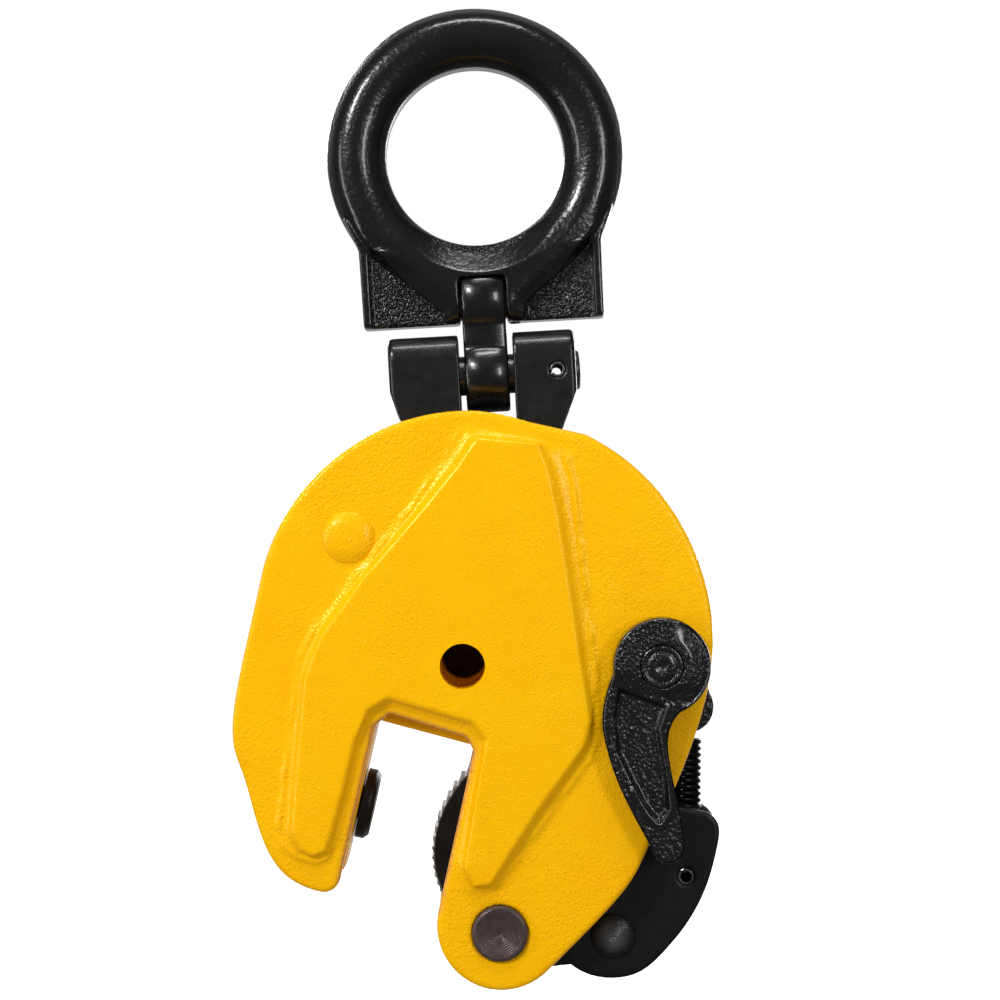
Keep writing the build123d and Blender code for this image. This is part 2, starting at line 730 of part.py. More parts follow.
with BuildPart() as lock_spring:
    # close-wound body as one ribbed tube
    with BuildSketch(COIL_PLANE.offset(HOOK_LENGTH)):
        Circle(SPRING_OD / 2 - 0.35)
        Circle(SPRING_OD / 2 - WIRE, mode=Mode.SUBTRACT)
    extrude(amount=TURNS * COIL_PITCH)
    for turn in range(TURNS):
        with BuildSketch(COIL_PLANE.offset(HOOK_LENGTH + (turn + 0.2) * COIL_PITCH)):
            Circle(SPRING_OD / 2)
            Circle(SPRING_OD / 2 - 0.8, mode=Mode.SUBTRACT)
        extrude(amount=0.6 * COIL_PITCH)
    # end plates that stand for the turned-up wire, and a loop round each pin
    for height in (HOOK_LENGTH, HOOK_LENGTH + TURNS * COIL_PITCH - WIRE):
        with BuildSketch(COIL_PLANE.offset(height)):
            Rectangle(SPRING_OD - 1.5, WIRE)
            Rectangle(WIRE, SPRING_OD - 1.5)
        extrude(amount=WIRE)
    coil_top = HOOK_LENGTH + TURNS * COIL_PITCH
    hooks = (
        (0.0, HOOK_LENGTH + 0.5, ROLL_LOOP_R),
        (SPAN - LOOP_INSET, coil_top - 0.5, CRANK_LOOP_R),
    )
    for centre, towards, loop_r in hooks:
        with BuildSketch(HOOK_PLANE.offset(-WIRE / 2)):
            with Locations((centre, 0)):
                Circle(loop_r + WIRE)
            with Locations(((centre + towards) / 2, 0)):
                Rectangle(abs(towards - centre), WIRE)
            with Locations((centre, 0)):
                Circle(loop_r, mode=Mode.SUBTRACT)
        extrude(amount=WIRE)
save("lock_spring", lock_spring.part)
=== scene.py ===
import json
import math

import bmesh
import bpy
import numpy as np
from mathutils import Matrix, Vector, noise


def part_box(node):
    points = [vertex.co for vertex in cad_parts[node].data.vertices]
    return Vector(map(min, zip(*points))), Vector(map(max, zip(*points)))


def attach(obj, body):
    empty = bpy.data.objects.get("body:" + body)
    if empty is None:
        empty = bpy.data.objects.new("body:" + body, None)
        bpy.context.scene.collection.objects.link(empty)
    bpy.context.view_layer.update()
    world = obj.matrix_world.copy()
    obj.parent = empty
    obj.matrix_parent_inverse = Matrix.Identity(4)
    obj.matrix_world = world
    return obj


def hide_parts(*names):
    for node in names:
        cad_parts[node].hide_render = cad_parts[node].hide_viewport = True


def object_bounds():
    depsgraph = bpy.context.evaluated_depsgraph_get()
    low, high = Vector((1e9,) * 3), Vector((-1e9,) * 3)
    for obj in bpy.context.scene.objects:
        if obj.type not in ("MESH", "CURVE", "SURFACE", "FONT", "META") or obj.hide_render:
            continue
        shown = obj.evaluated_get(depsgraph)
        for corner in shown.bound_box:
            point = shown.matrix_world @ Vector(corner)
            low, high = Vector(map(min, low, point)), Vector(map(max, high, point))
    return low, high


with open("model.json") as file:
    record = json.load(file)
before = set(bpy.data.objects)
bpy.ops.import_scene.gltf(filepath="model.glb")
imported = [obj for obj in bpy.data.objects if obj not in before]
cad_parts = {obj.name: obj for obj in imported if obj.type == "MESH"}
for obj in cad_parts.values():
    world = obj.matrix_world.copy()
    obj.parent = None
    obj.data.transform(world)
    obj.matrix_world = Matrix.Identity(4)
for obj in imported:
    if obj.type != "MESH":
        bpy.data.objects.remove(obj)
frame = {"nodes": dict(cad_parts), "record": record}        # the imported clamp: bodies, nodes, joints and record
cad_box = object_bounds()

MM = 0.001
TILT = math.radians(15.7)        # the throat's lean from the load line
ROLL = math.radians(3.2)         # the camera's roll about its own axis
VIEW_DISTANCE = 0.600            # from the camera to the clamp's mid-plane
VIEW_WIDTH = 0.254               # what the camera sees across, at the clamp's mid-plane
CAMERA_X, CAMERA_Z = 0.0015, -0.0871
LAMP_AIM = (0, 0, -0.09)         # the point that every lamp faces
DIFFUSE_GLOW = 0.38              # the surround's strength as matt paint gathers it
GLOSS_FRONT, GLOSS_BACK = 0.10, 0.65     # and as gloss mirrors it, before and behind
FLOOR_SIZE, FLOOR_DROP = 6.0, 0.05       # the drop is measured from the clamp's lowest point


# ---- places, all worked out from the frame ------------------------------------------
def middle(node):
    """The middle of a CAD node's box at rest."""
    low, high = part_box(node)
    return (low + high) / 2


CAM_AXIS = middle("cam_pin")


def clamp_of(point):
    """A point's place in the clamp's own frame, in millimetres: across the throat, and up it.

    The clamp's frame has its origin on the cam pin.
    """
    x, z = (point.x - CAM_AXIS.x) / MM, (point.z - CAM_AXIS.z) / MM
    return (x * math.cos(TILT) - z * math.sin(TILT), x * math.sin(TILT) + z * math.cos(TILT))


def read_vertices(mesh):
    """The mesh's vertices as rows of x, y and z, in metres."""
    flat = np.empty(len(mesh.vertices) * 3)
    mesh.vertices.foreach_get("co", flat)
    return flat.reshape(-1, 3)


def write_vertices(mesh, co):
    mesh.vertices.foreach_set("co", co.reshape(-1))


def clamp_places(co):
    """Each row of vertices in the clamp's own frame, in millimetres, and its depth along Y."""
    x = (co[:, 0] - CAM_AXIS.x) / MM
    z = (co[:, 2] - CAM_AXIS.z) / MM
    place = np.column_stack((x * math.cos(TILT) - z * math.sin(TILT),
                             x * math.sin(TILT) + z * math.cos(TILT)))
    return place, co[:, 1] / MM


def set_attribute(mesh, name, values):
    """Stores one number per vertex, for a material to read."""
    mesh.attributes.new(name, "FLOAT", "POINT").data.foreach_set("value", values)


# ---- material building blocks -------------------------------------------------------
NOISE_SPAN = (0.3, 0.7)          # the greys that hold nearly all of a noise


class Shader:
    """A node material with one Principled shader and short ways to add to it."""

    def __init__(self, name, rough, metal=0.0):
        self.material = bpy.data.materials.new(name)
        self.material.use_nodes = True
        self.nodes = self.material.node_tree.nodes
        self.links = self.material.node_tree.links
        self.bsdf = self.nodes["Principled BSDF"]
        self.bsdf.inputs["Roughness"].default_value = rough
        self.bsdf.inputs["Metallic"].default_value = metal
        self.place = self.nodes.new("ShaderNodeTexCoord").outputs["Object"]

    def noise(self, size_mm, detail=3.0, rough=0.55):
        """Noise with features about size_mm across; gives its grey output."""
        node = self.nodes.new("ShaderNodeTexNoise")
        node.inputs["Scale"].default_value = 1.0 / (size_mm * MM)
        node.inputs["Detail"].default_value = detail
        node.inputs["Roughness"].default_value = rough
        self.links.new(self.place, node.inputs["Vector"])
        return node.outputs["Fac"]

    def clouds(self, size_mm, detail=3.0):
        """Noise stretched so that it runs from nearly 0 to nearly 1."""
        return self.remap(self.noise(size_mm, detail), *NOISE_SPAN)

    def attribute(self, name):
        """The number that a piece's vertices carry under this name, or 0 where they have none."""
        node = self.nodes.new("ShaderNodeAttribute")
        node.attribute_name = name
        return node.outputs["Fac"]

    def remap(self, value, low, high, out_low=0.0, out_high=1.0):
        """Moves the range low to high onto out_low to out_high, and clamps it there."""
        node = self.nodes.new("ShaderNodeMapRange")
        self.links.new(value, node.inputs["Value"])
        for key, number in (("From Min", low), ("From Max", high),
                            ("To Min", out_low), ("To Max", out_high)):
            node.inputs[key].default_value = number
        return node.outputs["Result"]

    def math(self, kind, first, second=0.0):
        """One maths node; each value is a number or another node's output."""
        node = self.nodes.new("ShaderNodeMath")
        node.operation = kind
        for socket, value in zip(node.inputs, (first, second)):
            if isinstance(value, (int, float)):
                socket.default_value = value
            else:
                self.links.new(value, socket)
        return node.outputs["Value"]

    def axis(self, name):
        """The X, Y or Z place of the shaded point, in metres."""
        node = self.nodes.new("ShaderNodeSeparateXYZ")
        self.links.new(self.place, node.inputs["Vector"])
        return node.outputs[name]

    def colour(self, value, first, second):
        """Base colour between two colours; gives the mix node, for colour_over."""
        node = self.nodes.new("ShaderNodeMix")
        node.data_type = "RGBA"
        self.links.new(value, node.inputs["Factor"])
        node.inputs["A"].default_value = (*first, 1.0)
        node.inputs["B"].default_value = (*second, 1.0)
        self.links.new(node.outputs["Result"], self.bsdf.inputs["Base Color"])
        return node

    def colour_over(self, below, value, top):
        """Lays one more colour over what the node below gives."""
        node = self.nodes.new("ShaderNodeMix")
        node.data_type = "RGBA"
        self.links.new(value, node.inputs["Factor"])
        self.links.new(below.outputs["Result"], node.inputs["A"])
        node.inputs["B"].default_value = (*top, 1.0)
        self.links.new(node.outputs["Result"], self.bsdf.inputs["Base Color"])

    def roughness(self, size_mm, low, high):
        """Cloudy roughness with patches about size_mm across."""
        cloudy = self.remap(self.noise(size_mm), *NOISE_SPAN, low, high)
        self.links.new(cloudy, self.bsdf.inputs["Roughness"])

    def bump(self, height, depth_mm, after=None):
        """Bump of the given depth, laid over an earlier bump's output if there is one."""
        node = self.nodes.new("ShaderNodeBump")
        node.inputs["Distance"].default_value = depth_mm * MM
        self.links.new(height, node.inputs["Height"])
        if after is not None:
            self.links.new(after, node.inputs["Normal"])
        self.links.new(node.outputs["Normal"], self.bsdf.inputs["Normal"])
        return node.outputs["Normal"]


PANEL_FLANK = (0.0186, 0.0203)   # depths between which the orange peel thins out, in metres
RUBBED_YELLOW = (0.62, 0.22, 0.07)


def make_yellow_paint():
    """Enamel over a forging: coarse orange peel on the flats, finer on the raised panel."""
    s = Shader("yellow_paint", 0.34)
    paint = s.colour(s.clouds(16.0), (1.0, 0.478, 0.0), (1.0, 0.520, 0.0005))
    rubbed = s.math("MULTIPLY", s.attribute("wear_and_bore_shade"), s.remap(s.noise(1.6), 0.30, 0.62, 0.25, 1.0))
    s.colour_over(paint, rubbed, RUBBED_YELLOW)
    flat = s.remap(s.math("ABSOLUTE", s.axis("Y")), *PANEL_FLANK, 1.0, 0.28)
    patch = s.remap(s.noise(22.0, 1.0), 0.35, 0.65, 0.45, 1.0)
    peel = s.math("MULTIPLY", s.noise(0.70, 0.5), s.math("MULTIPLY", flat, patch))
    specks = s.remap(s.noise(0.55, 0.0), 0.62, 0.72)
    waves = s.bump(s.noise(6.0, 1.0), 0.20)
    fine = s.bump(s.math("MULTIPLY", specks, patch), 0.06, after=waves)
    s.bump(peel, 0.20, after=fine)
    s.roughness(3.0, 0.22, 0.32)
    s.bsdf.inputs["Specular Tint"].default_value = (1.0, 0.82, 0.22, 1.0)
    s.bsdf.inputs["Coat Weight"].default_value = 0.08
    s.bsdf.inputs["Coat Roughness"].default_value = 0.10
    return s.material


WEB_FLOOR = (0.0042, 0.0047)     # depths where the eye's web floor gives way to its rim
WEB_TOP = (-0.022, -0.019)       # heights where the webs end, under the ring


def make_black_paint(name, peel_mm, depth_mm, rough, grain_floor=False, coat=0.30, tone=1.0):
    """Black enamel; grain_floor adds the rough grain of the eye's recessed webs."""
    s = Shader(name, rough)
    s.colour(s.clouds(9.0), (0.0025 * tone,) * 3, (0.0062 * tone,) * 3)
    smooth = s.bump(s.noise(peel_mm, 1.0), depth_mm, after=s.bump(s.noise(0.7, 0.0), 0.03))
    if grain_floor:
        floor = s.remap(s.math("ABSOLUTE", s.axis("Y")), *WEB_FLOOR, 1.0, 0.0)
        below = s.remap(s.axis("Z"), *WEB_TOP, 1.0, 0.0)
        mask = s.math("MULTIPLY", floor, below)
        s.bump(s.math("MULTIPLY", s.noise(0.62, 0.5, 0.5), mask), 0.70, after=smooth)
        shinier = s.remap(mask, 0.0, 1.0, rough, rough - 0.10)
        s.links.new(shinier, s.bsdf.inputs["Roughness"])
    else:
        s.roughness(2.5, rough - 0.03, rough + 0.04)
    s.bsdf.inputs["Coat Weight"].default_value = coat
    s.bsdf.inputs["Coat Roughness"].default_value = 0.10
    return s.material


def make_cast_black(name, grain_mm, depth_mm):
    """Grainy black casting, as on the lever and the crank; smooth where it is polished."""
    s = Shader(name, 0.30)
    s.colour(s.clouds(6.0), (0.0025,) * 3, (0.006,) * 3)
    rough_part = s.math("SUBTRACT", 1.0, s.attribute("polish"))
    s.bump(s.math("MULTIPLY", s.noise(grain_mm, 0.6, 0.5), rough_part), depth_mm)
    s.roughness(1.4, 0.20, 0.28)
    s.bsdf.inputs["Coat Weight"].default_value = 0.8
    s.bsdf.inputs["Coat Roughness"].default_value = 0.15
    return s.material


DOME_HIGHLIGHT_FADE = (0.4, 4.4)         # radii over which the painted highlight on a dome's middle fades out
TURNING_PITCH = 0.55
TURNING_WANDER = 0.25


def make_steel(name, dark, light, rough, ring_node=None, metal=0.9, dome_highlight=None):
    """Oxidised or bare steel, with painted shade, near black and matt, on the inside of a bore that a piece
    marks.

    ring_node adds turning marks about that node's middle, and the last argument is the colour of
    a painted highlight on a dome's middle.
    """
    s = Shader(name, rough, metal)
    plain = s.colour(s.clouds(1.6, 2.0), dark, light)
    # painted shade: where a piece marks the inside of a bore, the colour goes near black
    inside = s.attribute("wear_and_bore_shade")
    s.colour_over(plain, inside, (0.002,) * 3)
    if ring_node:
        centre = middle(ring_node)
        x = s.math("SUBTRACT", s.axis("X"), centre.x)
        z = s.math("SUBTRACT", s.axis("Z"), centre.z)
        squares = s.math("ADD", s.math("MULTIPLY", x, x), s.math("MULTIPLY", z, z))
        radius = s.math("SQRT", squares)
        # painted highlight: the dome's middle is lightened as if a lamp shone in it
        if dome_highlight:
            near, far = DOME_HIGHLIGHT_FADE
            s.colour_over(plain, s.remap(radius, near * MM, far * MM, 1.0, 0.0), dome_highlight)
        wander = s.math("MULTIPLY", s.noise(2.0, 1.0), TURNING_WANDER * MM)
        turned = s.math("ADD", radius, wander)
        rings = s.math("SINE", s.math("MULTIPLY", turned, 2 * math.pi / (TURNING_PITCH * MM)))
        s.bump(rings, 0.025, after=s.bump(s.noise(0.5), 0.05))
    else:
        s.bump(s.noise(0.5), 0.04)
    matt = s.remap(s.noise(1.8), *NOISE_SPAN, rough - 0.08, rough + 0.12)
    s.links.new(s.math("MAXIMUM", matt, inside), s.bsdf.inputs["Roughness"])
    return s.material


def make_cam_steel():
    """Hardened black steel; the flanks of the cam's teeth are bare grey metal."""
    s = Shader("hard_black", 0.40, 0.4)
    bare = s.math("MULTIPLY", s.attribute("wear_and_bore_shade"), s.remap(s.noise(0.9), 0.30, 0.55, 0.3, 1.0))
    black = s.colour(s.clouds(4.0), (0.008, 0.008, 0.008), (0.016,) * 3)
    s.colour_over(black, bare, (0.42, 0.42, 0.43))
    s.bump(s.noise(0.6), 0.05)
    s.roughness(1.8, 0.34, 0.50)
    return s.material


BORDER_INSET = 0.0013            # the label's pale line, measured from its edge
BORDER_HALF = (0.00022, 0.00034)     # where the line's colour starts to fade, and is gone


def make_label():
    """Dark plate with no lettering: a blank field inside a thin pale border."""
    s = Shader("label", 0.4)
    low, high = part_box("rating_label")
    centre = middle("rating_label")
    across, along = math.cos(TILT), math.sin(TILT)
    # half the tilted plate's width and height, from the half sizes of the box round it
    wide, tall = (high.x - low.x) / 2, (high.z - low.z) / 2
    scale = across * across - along * along
    halves = ((wide * across - tall * along) / scale, (tall * across - wide * along) / scale)
    x = s.math("SUBTRACT", s.axis("X"), centre.x)
    z = s.math("SUBTRACT", s.axis("Z"), centre.z)
    turned = (s.math("SUBTRACT", s.math("MULTIPLY", x, across), s.math("MULTIPLY", z, along)),
              s.math("ADD", s.math("MULTIPLY", x, along), s.math("MULTIPLY", z, across)))
    inward = [s.math("SUBTRACT", half, s.math("ABSOLUTE", side))
              for half, side in zip(halves, turned)]
    from_edge = s.math("MINIMUM", *inward)
    off_line = s.math("ABSOLUTE", s.math("SUBTRACT", from_edge, BORDER_INSET))
    black = s.colour(s.remap(s.noise(5.0, 1.0), 0.4, 0.6), (0.010, 0.008, 0.008),
                     (0.013, 0.011, 0.010))
    s.colour_over(black, s.remap(off_line, *BORDER_HALF, 1.0, 0.0), (0.45, 0.43, 0.40))
    s.bump(s.noise(0.3), 0.01)
    s.roughness(2.0, 0.35, 0.5)
    return s.material


MATERIALS = {
    "eye_black": make_black_paint("eye_black", 1.3, 0.11, 0.27, grain_floor=True),
    "link_black": make_black_paint("link_black", 3.5, 0.08, 0.27, coat=0.35),
    "head_black": make_black_paint("head_black", 1.1, 0.045, 0.34, coat=0.25),
    "yellow_paint": make_yellow_paint(),
    "hard_black": make_cam_steel(),
    "link_plate_black": make_black_paint("link_plate_black", 1.6, 0.012, 0.42, coat=0.0,
                                         tone=0.4),
    "cast_black": make_cast_black("cast_black", 0.80, 0.52),
    "shaft_black": make_cast_black("shaft_black", 0.60, 0.26),
    "pin_steel": make_steel("pin_steel", (0.07,) * 3, (0.13,) * 3, 0.28, metal=0.6),
    "cam_pin_steel": make_steel("cam_pin_steel", (0.058, 0.040, 0.037), (0.090, 0.064, 0.059),
                                0.32, "cam_pin", metal=0.25),
    # the tail pin's dome gets a painted highlight at its middle
    "tail_pin_steel": make_steel("tail_pin_steel", (0.016,) * 3, (0.028,) * 3, 0.24, "tail_pin",
                                 metal=0.4, dome_highlight=(0.13, 0.13, 0.13)),
    "spring_steel": make_steel("spring_steel", (0.012,) * 3, (0.03,) * 3, 0.28),
    "bush_bronze": make_steel("bush_bronze", (0.30, 0.17, 0.06), (0.42, 0.25, 0.10), 0.38),
    "label": make_label(),
}
SLOT_OF = {part["node"]: part["material_slot"] for part in frame["record"]["subparts"]}
for node, thing in frame["nodes"].items():
    thing.data.materials.clear()
    thing.data.materials.append(MATERIALS[SLOT_OF[node]])


# ---- mesh building blocks -----------------------------------------------------------
def finish_piece(thing, node):
    """Gives a finished piece its body, slot and finish, and hides the node it stands for."""
    thing.data.materials.clear()
    thing.data.materials.append(MATERIALS[SLOT_OF[node]])
    for face in thing.data.polygons:
        face.use_smooth = True
    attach(thing, thing_body(node))
    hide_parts(node)
    return thing


def thing_body(node):
    """The body that the record puts a node in."""
    for body, members in frame["record"]["behaviour"]["bodies"].items():
        if node in members:
            return body


def object_from(mesh_data, name):
    """A new object in the scene, made from the mesh under construction."""
    mesh = bpy.data.meshes.new(name)
    mesh_data.to_mesh(mesh)
    mesh_data.free()
    thing = bpy.data.objects.new(name, mesh)
    bpy.context.scene.collection.objects.link(thing)
    return thing


def forge(node, name, voxel_mm, passes, sculpt=None):
    """A copy of a CAD node with the soft edges of a forging; sculpt reshapes its mesh."""
    mesh_data = bmesh.new()
    mesh_data.from_mesh(frame["nodes"][node].data)
    bmesh.ops.remove_doubles(mesh_data, verts=mesh_data.verts, dist=1e-6)
    thing = object_from(mesh_data, name)
    remesh = thing.modifiers.new("remesh", "REMESH")
    remesh.mode = "VOXEL"
    remesh.voxel_size = voxel_mm * MM
    apply_modifiers(thing)
    if sculpt:
        sculpt(thing.data)
    soften = thing.modifiers.new("soften", "SMOOTH")
    soften.factor = 0.5
    soften.iterations = passes
    apply_modifiers(thing)
    return finish_piece(thing, node)


def apply_modifiers(thing):
    """Turns what the modifiers give into the object's own mesh."""
    view = bpy.context.evaluated_depsgraph_get()
    thing.data = bpy.data.meshes.new_from_object(thing.evaluated_get(view))
    thing.modifiers.clear()


def bridge(mesh_data, rings):
    """Joins each closed ring of vertices to the next with four-sided faces."""
    sides = len(rings[0])
    for first, second in zip(rings, rings[1:]):
        for k in range(sides):
            j = (k + 1) % sides
            mesh_data.faces.new((first[k], first[j], second[j], second[k]))


def lathe(node, name, profile, sides=72):
    """A turned piece about a line along Y through the node's middle.

    profile is a list of (radius, y), in millimetres.
    """
    centre = middle(node)
    mesh_data = bmesh.new()
    rings = []
    for radius, y in profile:
        ring = []
        for k in range(sides):
            turn = 2 * math.pi * k / sides
            ring.append(mesh_data.verts.new((centre.x + radius * MM * math.cos(turn), y * MM,
                                             centre.z + radius * MM * math.sin(turn))))
        rings.append(ring)
    bridge(mesh_data, rings)
    mesh_data.faces.new(rings[0])
    mesh_data.faces.new(list(reversed(rings[-1])))
    bmesh.ops.recalc_face_normals(mesh_data, faces=mesh_data.faces)
    return finish_piece(object_from(mesh_data, name), node)


# ---- side plates --------------------------------------------------------------------
# Outlines and lines are given in the clamp's own frame, in millimetres.
PLATE_FACE = 18.0                # depth of the plates' flat faces
PANEL_RISE = 2.5
PANEL_FOOT = [
    (-35.8, 120.5), (-44.1, 97.7), (-60.7, 64.3), (-62.9, 55.9), (-61.2, 35.0), (-59.0, 14.5),
    (-56.8, 9.6), (-53.0, 7.5), (-48.2, 7.2), (-44.6, 9.6), (-43.2, 14.0), (-43.0, 41.5),
    (-42.0, 46.0), (-38.4, 48.5), (-19.0, 47.3), (-15.2, 45.2), (-14.4, 42.0), (-14.6, 15.0),
    (-12.9, 10.6), (-9.5, 8.4), (-5.4, 8.6), (-3.0, 11.4), (5.6, 31.5), (12.4, 46.9),
    (13.3, 52.5), (12.0, 59.6), (3.3, 84.2), (-6.6, 113.0), (-11.0, 120.8)]
PANEL_TOP = [
    (-31.9, 117.7), (-35.0, 109.7), (-40.9, 98.5), (-51.7, 78.4), (-58.6, 62.5), (-60.4, 50.8),
    (-58.1, 35.2), (-56.2, 21.3), (-55.0, 13.5), (-52.5, 10.1), (-49.1, 9.1), (-46.4, 10.9),
    (-45.5, 25.2), (-45.3, 38.8), (-43.8, 46.6), (-39.5, 51.0), (-17.5, 49.6), (-13.6, 46.0),
    (-13.1, 34.1), (-11.8, 14.3), (-8.6, 10.5), (-4.9, 11.8), (-2.4, 18.7), (3.1, 33.7),
    (10.0, 49.6), (10.2, 56.0), (4.6, 70.0), (-0.8, 84.1), (-8.2, 102.6), (-12.9, 112.6),
    (-16.8, 119.8)]
THROAT = [(-41.4, 4.0), (-41.4, 43.0), (-38.2, 46.9), (-18.5, 45.3), (-16.0, 42.3), (-16.0, 2.0)]
FLASH_REACH = 1.6                # how far from the panel's foot the flash goes
FLASH_WIDTH, FLASH_HEIGHT = 0.62, 0.80
FLASH_TOP = 119.0                # no flash above this, where the panel runs off the plate
THROAT_LEFT, THROAT_RIGHT, THROAT_TOP = -45, -12, 52     # nor inside this, round the throat
BROW_FROM = 0.60                 # share of the flank's width where its upper bend starts
RUB_WIDTH, RUB_DEPTH = 0.75, 16.6        # the throat's rubbed edge, and the depth it starts at


def distances(points, line, closed=True):
    """Distance of each point from a line of corners, and whether a closed line holds it."""
    corners = np.array(line)
    ends = np.roll(corners, -1, axis=0)
    if not closed:
        corners, ends = corners[:-1], ends[:-1]
    best = np.full(len(points), 1e9)
    inside = np.zeros(len(points), dtype=bool)
    for a, b in zip(corners, ends):
        span = b - a
        share = np.clip(((points - a) @ span) / (span @ span), 0, 1)
        best = np.minimum(best, np.linalg.norm(points - a - share[:, None] * span, axis=1))
        crosses = (a[1] > points[:, 1]) != (b[1] > points[:, 1])
        if span[1]:
            left = points[:, 0] < a[0] + (points[:, 1] - a[1]) * span[0] / span[1]
            inside ^= crosses & left
    return best, inside


def flash_height(u, v, away):
    """Height of the ragged ridge of forging flash at this distance from the panel's foot."""
    beside_throat = THROAT_LEFT < u < THROAT_RIGHT and v < THROAT_TOP
    if beside_throat or v > FLASH_TOP:
        return 0.0
    ragged = 0.55 + 0.9 * noise.noise(Vector((u * 0.11, v * 0.16, 3.0)))
    fine = 1.0 + 0.5 * noise.noise(Vector((u * 0.7, v * 0.7, 9.0)))
    return FLASH_HEIGHT * max(0.0, ragged) * fine * math.exp(-(away / FLASH_WIDTH) ** 2)


def shape_panel(mesh):
    """Gives the raised panel its uneven flanks and the ridge of forging flash at its foot.

    It also marks the throat's edge as rubbed.
    """
    co = read_vertices(mesh)
    place, depth = clamp_places(co)
    depth = np.abs(depth)
    to_foot, in_foot = distances(place, PANEL_FOOT)
    to_top, in_top = distances(place, PANEL_TOP)
    share = np.where(in_top, 1.0, np.where(in_foot, to_foot / (to_foot + to_top + 1e-9), 0.0))
    brow = np.clip((share - BROW_FROM) / (1 - BROW_FROM), 0, 1)
    eased = 0.58 * share + 0.42 * brow * brow * (3 - 2 * brow)
    ridge = np.zeros(len(depth))
    for k in np.nonzero(to_foot < FLASH_REACH)[0]:
        ridge[k] = flash_height(*place[k], to_foot[k])
    wanted = PLATE_FACE + PANEL_RISE * eased + ridge
    on_face = (depth > PLATE_FACE - 0.15) & (in_foot | (to_foot < FLASH_REACH))
    depth = np.where(on_face, wanted, depth)
    co[:, 1] = np.sign(co[:, 1]) * depth * MM
    write_vertices(mesh, co)
    to_throat, _ = distances(place, THROAT, closed=False)
    set_attribute(mesh, "wear_and_bore_shade", np.exp(-(to_throat / RUB_WIDTH) ** 2) * (depth > RUB_DEPTH) * 0.9)


# ---- cam ----------------------------------------------------------------------------
TEETH_FROM, TEETH_TO = 165.0, 104.0      # polar angles of the toothed face, in degrees
RADIUS_FROM, RADIUS_TO = 17.0, 45.3      # the tips' distance from the cam pin at each end
BARE_HEIGHT, BARE_FADE = 2.0, 0.6        # bare metal below the tip, and how softly it ends


def bare_teeth(mesh):
    """Marks the outer part of each tooth as bare metal."""
    place, _ = clamp_places(read_vertices(mesh))
    angle = np.degrees(np.arctan2(place[:, 1], place[:, 0]))
    share = np.clip((TEETH_FROM - angle) / (TEETH_FROM - TEETH_TO), 0, 1)
    tip = RADIUS_FROM + (RADIUS_TO - RADIUS_FROM) * share
    radius = np.linalg.norm(place, axis=1)
    on_face = (angle > TEETH_TO - 1) & (angle < TEETH_FROM + 2)
    bare = np.clip((radius - tip + BARE_HEIGHT) / BARE_FADE, 0, 1) * on_face
    set_attribute(mesh, "wear_and_bore_shade", bare)


# ---- lock lever ---------------------------------------------------------------------
LEVER_FACE = 25.5
LEVER_DROP = 1.05                # the arm's face is sunk this much, to keep the bead in the box
ARM_TOP = 70.0                   # where the arm leaves the hub
POCKET_DEPTH = 1.7
BEAD_HEIGHT, BEAD_WIDTH = 1.05, 0.8
FACET_SLOPE, FACET_FROM = 0.38, 7.4      # the filed side of the hub, by distance from its middle
POCKET = [(15.3, 65.4), (27.2, 63.6), (26.5, 58.0), (31.3, 45.6), (33.2, 39.5), (31.8, 36.0),
          (26.4, 40.4), (18.6, 50.4), (15.9, 58.3)]
BEAD = [(27.9, 64.0), (27.1, 58.4), (31.9, 46.0), (34.0, 39.6), (32.2, 34.9), (28.6, 37.2),
        (24.0, 42.4)]


def shape_lever(mesh):
    """Sinks the lever's pocket, raises the bead beside it and files the hub's right side.

    It also marks the bead and the pocket's edge as polished.
    """
    co = read_vertices(mesh)
    place, depth = clamp_places(co)
    to_pocket, in_pocket = distances(place, POCKET)
    signed = np.where(in_pocket, to_pocket, -to_pocket)
    sunk = POCKET_DEPTH * np.clip((signed + 0.35) / 0.8, 0, 1)
    to_bead, _ = distances(place, BEAD, closed=False)
    bead = BEAD_HEIGHT * np.exp(-(to_bead / BEAD_WIDTH) ** 2)
    from_hub = place - clamp_of(middle("lever_shaft"))
    bearing = np.degrees(np.arctan2(from_hub[:, 1], from_hub[:, 0]))
    facing = np.clip((bearing + 50) / 25, 0, 1) * np.clip((90 - bearing) / 30, 0, 1)
    beyond = np.clip(np.linalg.norm(from_hub, axis=1) - FACET_FROM, 0, 5)
    facet = FACET_SLOPE * facing * beyond
    drop = LEVER_DROP * np.clip((ARM_TOP - place[:, 1]) / 4.0, 0, 1)
    wanted = -(LEVER_FACE - drop - sunk + bead - facet)
    near_face = depth < -(LEVER_FACE - 2.3)
    flat_face = near_face & ((signed > -0.4) | (depth < -LEVER_FACE + 0.25))
    lowered = depth + drop * (depth + LEVER_FACE < 1.0)
    co[:, 1] = np.where(flat_face, wanted, lowered) * MM
    write_vertices(mesh, co)
    smooth = 0.9 * np.maximum(np.exp(-(to_bead / 1.1) ** 2), np.exp(-(signed / 0.6) ** 2))
    set_attribute(mesh, "polish", smooth)


# ---- swivel link and eye ------------------------------------------------------------
LINK_PLAIN = 5.5                 # depth up to which the link keeps its CAD shape
LINK_CROWN = 0.14                # how much thinner its sides end up than its middle


def crown_link(mesh):
    """Rounds the link across its width, as a forging is."""
    co = read_vertices(mesh)
    half_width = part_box("swivel_link")[1].x
    share = np.clip(np.abs(co[:, 0]) / half_width, 0, 1)
    bulk = np.clip((np.abs(co[:, 1]) / MM - LINK_PLAIN) / 2.0, 0, 1)
    co[:, 1] *= 1 - LINK_CROWN * bulk * share ** 2.4
    write_vertices(mesh, co)


